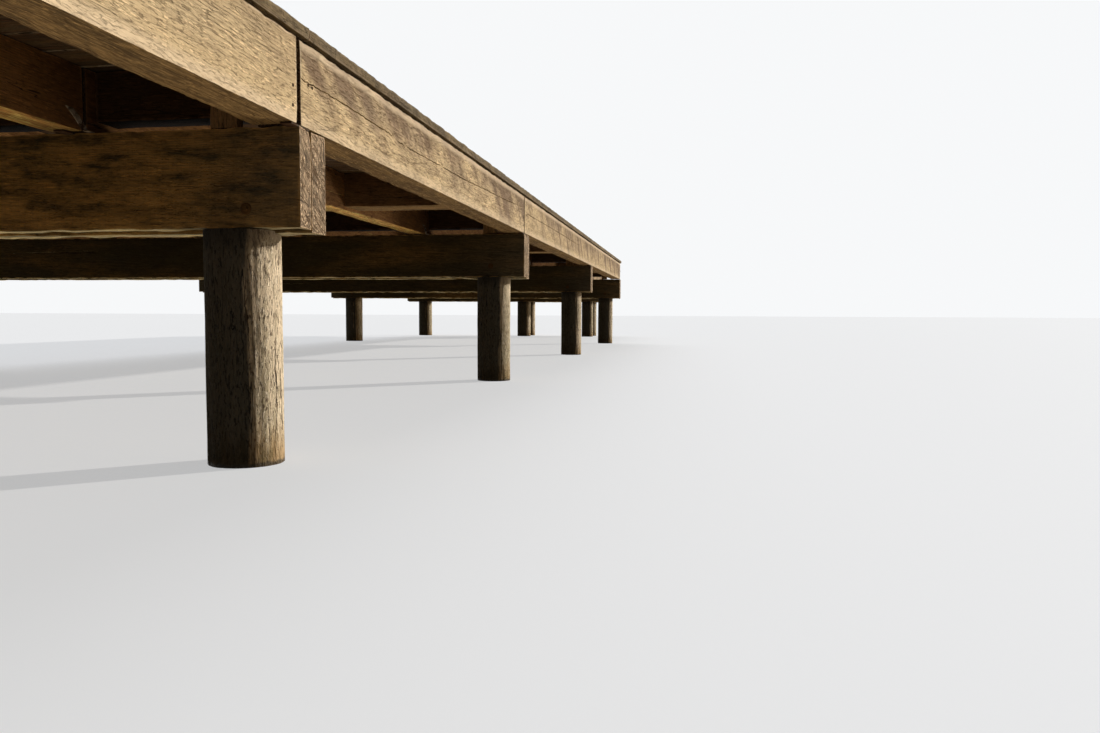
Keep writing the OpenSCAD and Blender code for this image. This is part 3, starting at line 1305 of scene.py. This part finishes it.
@dataclass(kw_only=True)
class Kerb(SubAssembly):
    """The low kerb boards along one edge, end to end, each bedded on a strip set back under it.

    Attributes:
        left: Left-hand edge of the boards.
        last_left: Left-hand edge of the last board.
        joints: Where the boards meet, along the jetty.
        width: Width of a board.
        gap: Open joint between two boards.
        bed: Thickness of the strip.
        back: How far the strip is set back.
    """

    slot = Slot.KERB
    # Painted shade: the dark under colour on the boards' undersides.
    finish = SawnWood(
        "kerb_wood", pale=(0.225, 0.160, 0.083), brown=(0.125, 0.086, 0.045), dark=(0.040, 0.026, 0.013),
        under=(0.085, 0.057, 0.026), grey=0.25, green=0.22, saw=1.2, teeth=95.0, streaks=0.35,
        mottle=0.4, relief=0.0022,
    )

    left: float
    last_left: float
    joints: list[float]
    width: float = 0.149
    gap: float = 0.003
    bed: float = 0.007
    back: float = 0.050

    def shape(self) -> None:
        """Lays the boards and their strips from the shore outwards."""
        cuts = [self.low.y, *self.joints, self.high.y]
        bottom, bed, top = self.low.z, self.low.z + self.bed, self.high.z
        for count, (start, stop) in enumerate(zip(cuts, cuts[1:])):
            start += self.gap if count else 0.0
            left = self.last_left if stop == cuts[-1] else self.left
            right = left + self.width
            self.add(Timber(
                Vector((left, start, bed)), Vector((right, stop, top)), Axis.Y, self.tone(0.3, 0.8),
                arris=0.003, wear=0.0028, pitch=0.016,
            ))
            # The bedding strip takes the brownest tone: painted shade in the gap under each board.
            self.add(Timber(
                Vector((left + self.back, start, bottom)), Vector((right - self.back, stop, bed)), Axis.Y,
                self.tone(0.9, 1.0), arris=0.001, wear=0.0, swell=0.0, pitch=0.3, rows=0,
            ))


@dataclass(kw_only=True)
class Cleats(SubAssembly):
    """Short blocks on the caps beside the outer beams.

    Attributes:
        starts: Where each pair starts along the jetty.
        width: Width of a cleat.
        thickness: Thickness of a cleat.
    """

    slot = Slot.CLEAT
    finish = SawnWood("cleat_wood", pale=(0.48, 0.31, 0.15), brown=(0.33, 0.20, 0.09))

    starts: list[float]
    width: float = 0.090
    thickness: float = 0.038

    def shape(self) -> None:
        """Stands a cleat at each side of every cap."""
        low, high = self.low, self.high
        for y, x in ((y, x) for y in self.starts for x in (low.x, high.x - self.width)):
            self.add(Timber(
                Vector((x, y, low.z)), Vector((x + self.width, y + self.thickness, high.z)), Axis.Z,
                self.tone(0.1, 0.5), arris=0.003, pitch=0.03,
            ))


@dataclass(kw_only=True)
class JoistTies(SubAssembly):
    """Small steel ties at the feet of the inner joists, folded out over the cap's top.

    Attributes:
        feet: Where each tie's fold lies, on a joist's face at the cap's top.
        width: Width of the strap.
        height: How high it reaches up the joist.
        lean: How far it leans towards the shore over that height.
        bow: How far its middle bows off the joist.
        toe: Length of the folded-out foot.
        thickness: Thickness of the strap.
    """

    finish = DullSteel("galvanised_steel", (0.50, 0.45, 0.39), (0.26, 0.22, 0.18), 0.35)

    feet: list[Vector]
    width: float = 0.032
    height: float = 0.062
    lean: float = 0.068
    bow: float = 0.004
    toe: float = 0.020
    thickness: float = 0.002

    def shape(self) -> None:
        """Bends each tie's strap up the joist's face and folds its foot out over the cap."""
        for foot in self.feet:
            tie = bmesh.new()
            self._slab(tie, self.thickness, self.height)
            upright = spanning(tie, 2, self.height / 2)
            bmesh.ops.subdivide_edges(tie, edges=upright, cuts=5, use_grid_fill=True)
            for vert in tie.verts:
                share = vert.co.z / self.height
                vert.co.y -= share * self.lean
                vert.co.x += self.bow * math.sin(math.pi * share)
            self._slab(tie, self.toe, self.thickness)
            bmesh.ops.translate(tie, vec=foot, verts=tie.verts)
            self.take(tie)

    def _slab(self, tie: bmesh.types.BMesh, out: float, up: float) -> None:
        """Adds a flat slab of the strap's width that reaches out and up from the fold."""
        place = Matrix.Translation((out / 2, 0.0, up / 2))
        bmesh.ops.create_cube(tie, size=2.0, matrix=place @ Matrix.Diagonal(
            (out / 2, self.width / 2, up / 2, 1.0)))


@dataclass(kw_only=True)
class Fastenings(SubAssembly):
    """Nail heads, or bolt heads on washers, that all look the same way.

    Attributes:
        points: Where each one sits.
        facing: The way the faces that they sit on look.
        radius: Radius of a head.
        proud: How far it stands out.
        sides: Facets of the head.
        washer: Radius of the washer beneath it, or 0.
        washer_height: Thickness of that washer.
    """

    finish = DullSteel("rusty_iron", (0.060, 0.040, 0.028), (0.030, 0.022, 0.017), 0.7, 0.2)

    points: list[Vector]
    facing: Triple = (0.0, 0.0, 1.0)
    radius: float = 0.0045
    proud: float = 0.0012
    sides: int = 8
    washer: float = 0.0
    washer_height: float = 0.003

    def shape(self) -> None:
        """Sets the heads, each turned at random, and the washers beneath them."""
        turn = Vector(self.facing).to_track_quat("Z", "Y").to_matrix().to_4x4()
        solid = bmesh.new()
        for point in self.points:
            spin = Matrix.Rotation(self.draws.uniform(0.0, math.pi), 4, "Z")
            base = Matrix.Translation(point) @ turn @ spin
            if self.washer:
                self._disc(solid, base, 24, self.washer, self.washer_height)
                base = base @ Matrix.Translation((0.0, 0.0, self.washer_height))
            self._disc(solid, base, self.sides, self.radius, self.proud)
        self.take(solid)

    def _disc(self, solid: bmesh.types.BMesh, base: Matrix, sides: int, radius: float, high: float) -> None:
        """Adds one disc with an eased rim on a base."""
        bmesh.ops.create_cone(solid, cap_ends=True, segments=sides, radius1=radius, radius2=radius * 0.82,
                              depth=high, matrix=base @ Matrix.Translation((0.0, 0.0, high / 2)))


class Bolts(Fastenings):
    """Bolt heads on the caps, above the piles."""

    finish = DullSteel(
        "rusty_bolt_steel", (0.110, 0.066, 0.034), (0.060, 0.036, 0.018), 0.6, flush=(0.130, 0.072, 0.028),
    )


# Stage


@dataclass(frozen=True)
class Lamp:
    """A sun lamp.

    Attributes:
        name: Its name.
        way: The way from the jetty to it.
        strength: Its strength.
        spread: How wide it is, in degrees.
        colour: Its colour.
    """

    name: str
    way: Triple
    strength: float
    spread: float
    colour: Triple

    def hang(self) -> None:
        """Adds the lamp to the scene."""
        data = bpy.data.lights.new(self.name, "SUN")
        data.energy = self.strength
        data.angle = math.radians(self.spread)
        data.color = self.colour
        placed(self.name, data).rotation_euler = Vector(self.way).to_track_quat("Z", "Y").to_euler()


@dataclass(frozen=True)
class Stage:
    """Floor, light and the camera at the photographed angle.

    Attributes:
        eye: Where the camera stands.
        turn: Its turn to the left of +Y, in degrees.
        dip: How far it looks down, in degrees.
        tilt: Its roll, in degrees.
        lens: Focal length for a 36 mm wide picture, in millimetres.
        floor_size: Width of the floor.
        floor_drop: How far it lies below the waterline, clear of the piles' feet.
        sky: Colour of the soft light from all round.
        sky_strength: Strength of that light.
        backdrop: What the sky shows as.
        lamps: The low sun, a weak fill from the far side, and the sun's light that the water throws
            up, slanting as glitter and straight up as a glimmer.
    """

    eye: Vector
    turn: float = 9.446
    dip: float = 3.547
    tilt: float = 0.240
    lens: float = 27.93
    floor_size: float = 400.0
    floor_drop: float = 0.0005
    sky: Triple = (0.90, 0.94, 1.0)
    sky_strength: float = 0.085
    backdrop: Triple = (0.93, 0.94, 0.95)
    lamps: tuple[Lamp, ...] = (
        Lamp("low_sun", (0.723, 0.644, 0.250), 4.2, 1.0, (1.0, 0.955, 0.89)),
        Lamp("far_fill", (-0.45, 0.60, 0.95), 1.6, 50.0, (0.95, 0.96, 1.0)),
        Lamp("water_glitter", (0.62, 0.70, -0.42), 1.1, 18.0, (1.0, 0.90, 0.76)),
        Lamp("water_glimmer", (0.10, 0.05, -1.0), 1.1, 40.0, (1.0, 0.76, 0.46)),
    )

    def set_up(self) -> None:
        """Makes everything that isn't part of the jetty."""
        self._camera()
        self._floor()
        for lamp in self.lamps:
            lamp.hang()
        self._sky()
        bpy.context.scene.view_settings.view_transform = "Standard"

    def _camera(self) -> None:
        """Sets the camera where the photograph was taken from."""
        data = bpy.data.cameras.new("photo_camera")
        data.sensor_width = 36.0
        data.lens = self.lens
        data.clip_start = 0.05
        data.clip_end = 800.0
        camera = placed("photo_camera", data)
        turn = Matrix.Rotation(math.radians(self.turn), 4, "Z")
        dip = Matrix.Rotation(math.radians(90.0 - self.dip), 4, "X")
        tilt = Matrix.Rotation(math.radians(self.tilt), 4, "Z")
        camera.matrix_world = Matrix.Translation(self.eye) @ turn @ dip @ tilt
        bpy.context.scene.camera = camera

    def _floor(self) -> None:
        """Lays the plain floor, which keeps shadows but lets the light from the water through."""
        solid = bmesh.new()
        bmesh.ops.create_grid(solid, x_segments=1, y_segments=1, size=self.floor_size / 2,
                              matrix=Matrix.Translation((0.0, 0.0, -self.floor_drop)))
        data = bpy.data.meshes.new("floor")
        solid.to_mesh(data)
        solid.free()
        data.materials.append(material(PaleGround()))
        floor = placed("floor", data)
        floor.visible_shadow = False

    def _sky(self) -> None:
        """Lights the jetty softly from all round, and shows as a plain pale backdrop."""
        world = bpy.data.worlds.new("backdrop")
        bpy.context.scene.world = world
        sheet = Sheet(world)
        light = sheet.node("Background", {"Color": self.sky, "Strength": self.sky_strength})
        plain = sheet.node("Background", {"Color": self.backdrop})
        mixed = sheet.node("MixShader", {0: sheet.seen(), 1: light, 2: plain})
        sheet.feed(sheet.tree.nodes["World Output"].inputs["Surface"], mixed)


# The jetty


class Jetty:
    """The whole jetty, put together bay by bay from the frame."""

    BROWNS = (0.12, 0.47, 0.44, 0.52, 0.52)
    CHECKS = {
        2: Check(1, ((-1.79, 0.012), (-1.48, 0.013), (-0.99, 0.008), (-0.83, -0.007),
                     (0.06, -0.003), (0.69, 0.014), (1.60, 0.036)), 0.012, 0.004),
        3: Check(1, ((-1.93, 0.017), (-0.24, 0.021), (0.98, 0.016)), 0.011, 0.004),
    }
    LEFT_CHECK = Check(-1, ((-1.2, 0.015), (1.1, 0.025)))
    SHRUNK = 0.005
    BOARD_END_GAP = 0.003
    KERB_JOINT = 0.057
    CLEAT_START = 0.012
    MIDDLE_PILE = 0.090
    LEFT_BOLT = 0.370
    BOLT = (0.237, 0.075)
    ODD_BOLTS = {2: (0.174, 0.067), 3: (0.237, 0.085), 4: (0.269, 0.066)}
    BEAM_NAILS = ((0.061, 0.130), (0.088, 0.128), (-0.038, 0.105), (-0.040, 0.048))
    # Painted shade: the plates are near-black, with rust, where they lie in the dark gap under the beam
    # ends.
    PLATE_STEEL = DullSteel("dark_plate_steel", (0.070, 0.052, 0.034), (0.034, 0.025, 0.016),
                            flush=(0.050, 0.026, 0.013))
    EYE = Vector((1.1440, -2.3847, 0.4707))

    def __init__(self) -> None:
        """Reads the edges of the frame."""
        self.caps: list[Cap] = []
        self.decks: list[Deck] = []
        self.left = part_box("bay_1_beam_left")[0].x
        self.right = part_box("bay_1_beam_right")[1].x
        self.step_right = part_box(f"bay_{BAYS}_beam_right")[1].x

    def build(self) -> None:
        """Builds every sub-assembly in order."""
        self._bents()
        self._bays()
        self._edges()
        self._steel()

    def _put(self, part: SubAssembly) -> None:
        """Builds one sub-assembly and reports its piece."""
        made = part.build()
        LOG.info("%s: %d faces", made.name, len(made.data.polygons))

    def _bents(self) -> None:
        """Builds the piles and caps, from the shore outwards."""
        for k in range(1, BAYS + 2):
            # Caps beyond the second take the near-black brown: painted shade.
            cap = Cap(f"bent_{k}_cap_planks", f"bent_{k}_cap", chip=0.011 if k == 2 else 0.004,
                      brown=(0.05, 0.25) if k <= 2 else (0.86, 0.95))
            self._put(Piles(f"bent_{k}_round_piles", f"bent_{k}_piles", cap=cap,
                            middle=self.MIDDLE_PILE if k > BAYS else None,
                            brown=(0.0, 0.1) if k == 2 else (0.3, 0.9)))
            self._put(cap)
            self.caps.append(cap)
        end_cap = Cap("end_cap_planks", "end_cap")
        self._put(Piles("end_round_piles", "end_piles", cap=end_cap, left=0.236))
        self._put(end_cap)

    def _bays(self) -> None:
        """Builds the beams, joists, noggings and boards of every bay."""
        for k in range(1, BAYS + 1):
            last = k == BAYS
            right = self.step_right if last else self.right
            inner = (self.left + BEAM_THICKNESS, right - BEAM_THICKNESS)
            shrunk = (0.0 if k == 1 else self.SHRUNK, 0.0 if last else self.SHRUNK)
            self._put(OuterBeam(f"bay_{k}_beam_right_timber", f"bay_{k}_beam_right", shrunk=shrunk,
                                brown=self.BROWNS[k - 1],
                                checks=(self.CHECKS[k],) if k in self.CHECKS else ()))
            self._put(OuterBeam(f"bay_{k}_beam_left_timber", f"bay_{k}_beam_left", shrunk=shrunk,
                                checks=(self.LEFT_CHECK,)))
            joists = Joists(f"bay_{k}_joist_timbers", f"bay_{k}_joists", count=4 if last else 5,
                            brown=(0.0, 0.15) if k == 1 else (0.6, 0.9))
            self._put(joists)
            self._put(Noggings(f"bay_{k}_nogging_blocks", f"bay_{k}_noggings", joists=joists, inner=inner,
                               closer=self.right - BEAM_THICKNESS if last else None))
            step = (self.step_right + self.BOARD_END_GAP, self.caps[k - 1].high.y) if last else None
            deck = Deck(f"bay_{k}_deck_boards", f"bay_{k}_deck", joists=joists,
                        right=inner[1] - self.BOARD_END_GAP, step=step)
            self._put(deck)
            self.decks.append(deck)

    def _edges(self) -> None:
        """Builds the kerbs and the cleats."""
        joints = [cap.low.y + self.KERB_JOINT for cap in self.caps]
        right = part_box("kerb_right")[1].x - Kerb.width
        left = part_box("kerb_left")[0].x
        self._put(Kerb("kerb_right_boards", "kerb_right", left=right,
                       last_left=right + self.step_right - self.right,
                       joints=[*joints[1:BAYS - 1], self.caps[BAYS - 1].high.y]))
        self._put(Kerb("kerb_left_boards", "kerb_left", left=left, last_left=left, joints=joints[1:BAYS]))
        self._put(Cleats("cap_cleats", "cleats",
                         starts=[cap.low.y + self.CLEAT_START for cap in self.caps[1:BAYS]]))

    def _steel(self) -> None:
        """Builds the nails of the deck and beams, the bolts of the caps and the ties of the joists."""
        nails, bolts, feet = [], [], []
        for k, cap in enumerate(self.caps, 1):
            aside, up = self.ODD_BOLTS.get(k, self.BOLT)
            bolts.append(Vector((cap.high.x - aside, cap.low.y, cap.low.z + up)))
            bolts.append(Vector((cap.low.x + self.LEFT_BOLT, cap.low.y, cap.low.z + self.BOLT[1])))
        for deck, cap in zip(self.decks, self.caps[1:BAYS]):
            y, z = cap.low.y, cap.high.z
            nails += [Vector((self.right, y + along, z + up)) for along, up in self.BEAM_NAILS]
            feet += [Vector((x + deck.joists.width / 2, y, z)) for x in deck.joists.middles()]
        self._put(Fastenings("deck_nails", points=[point for deck in self.decks for point in deck.nails]))
        self._put(Fastenings("beam_nails", points=nails, facing=(1.0, 0.0, 0.0), radius=0.0055, sides=12))
        self._put(Bolts("cap_bolts", points=bolts, facing=(0.0, -1.0, 0.0), radius=0.009, proud=0.007,
                        sides=6, washer=0.018))
        self._put(JoistTies("joist_ties", feet=feet))


def main() -> None:
    """Builds the jetty and its stage."""
    logging.basicConfig(level=logging.INFO, format="%(name)s %(message)s")
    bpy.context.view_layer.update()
    jetty = Jetty()
    jetty.build()
    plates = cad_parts["bearing_plates"].data.materials
    plates.clear()
    plates.append(material(jetty.PLATE_STEEL))
    Stage(eye=Vector((jetty.right, jetty.caps[1].low.y, 0.0)) + jetty.EYE).set_up()


if __name__ == "__main__":
    main()
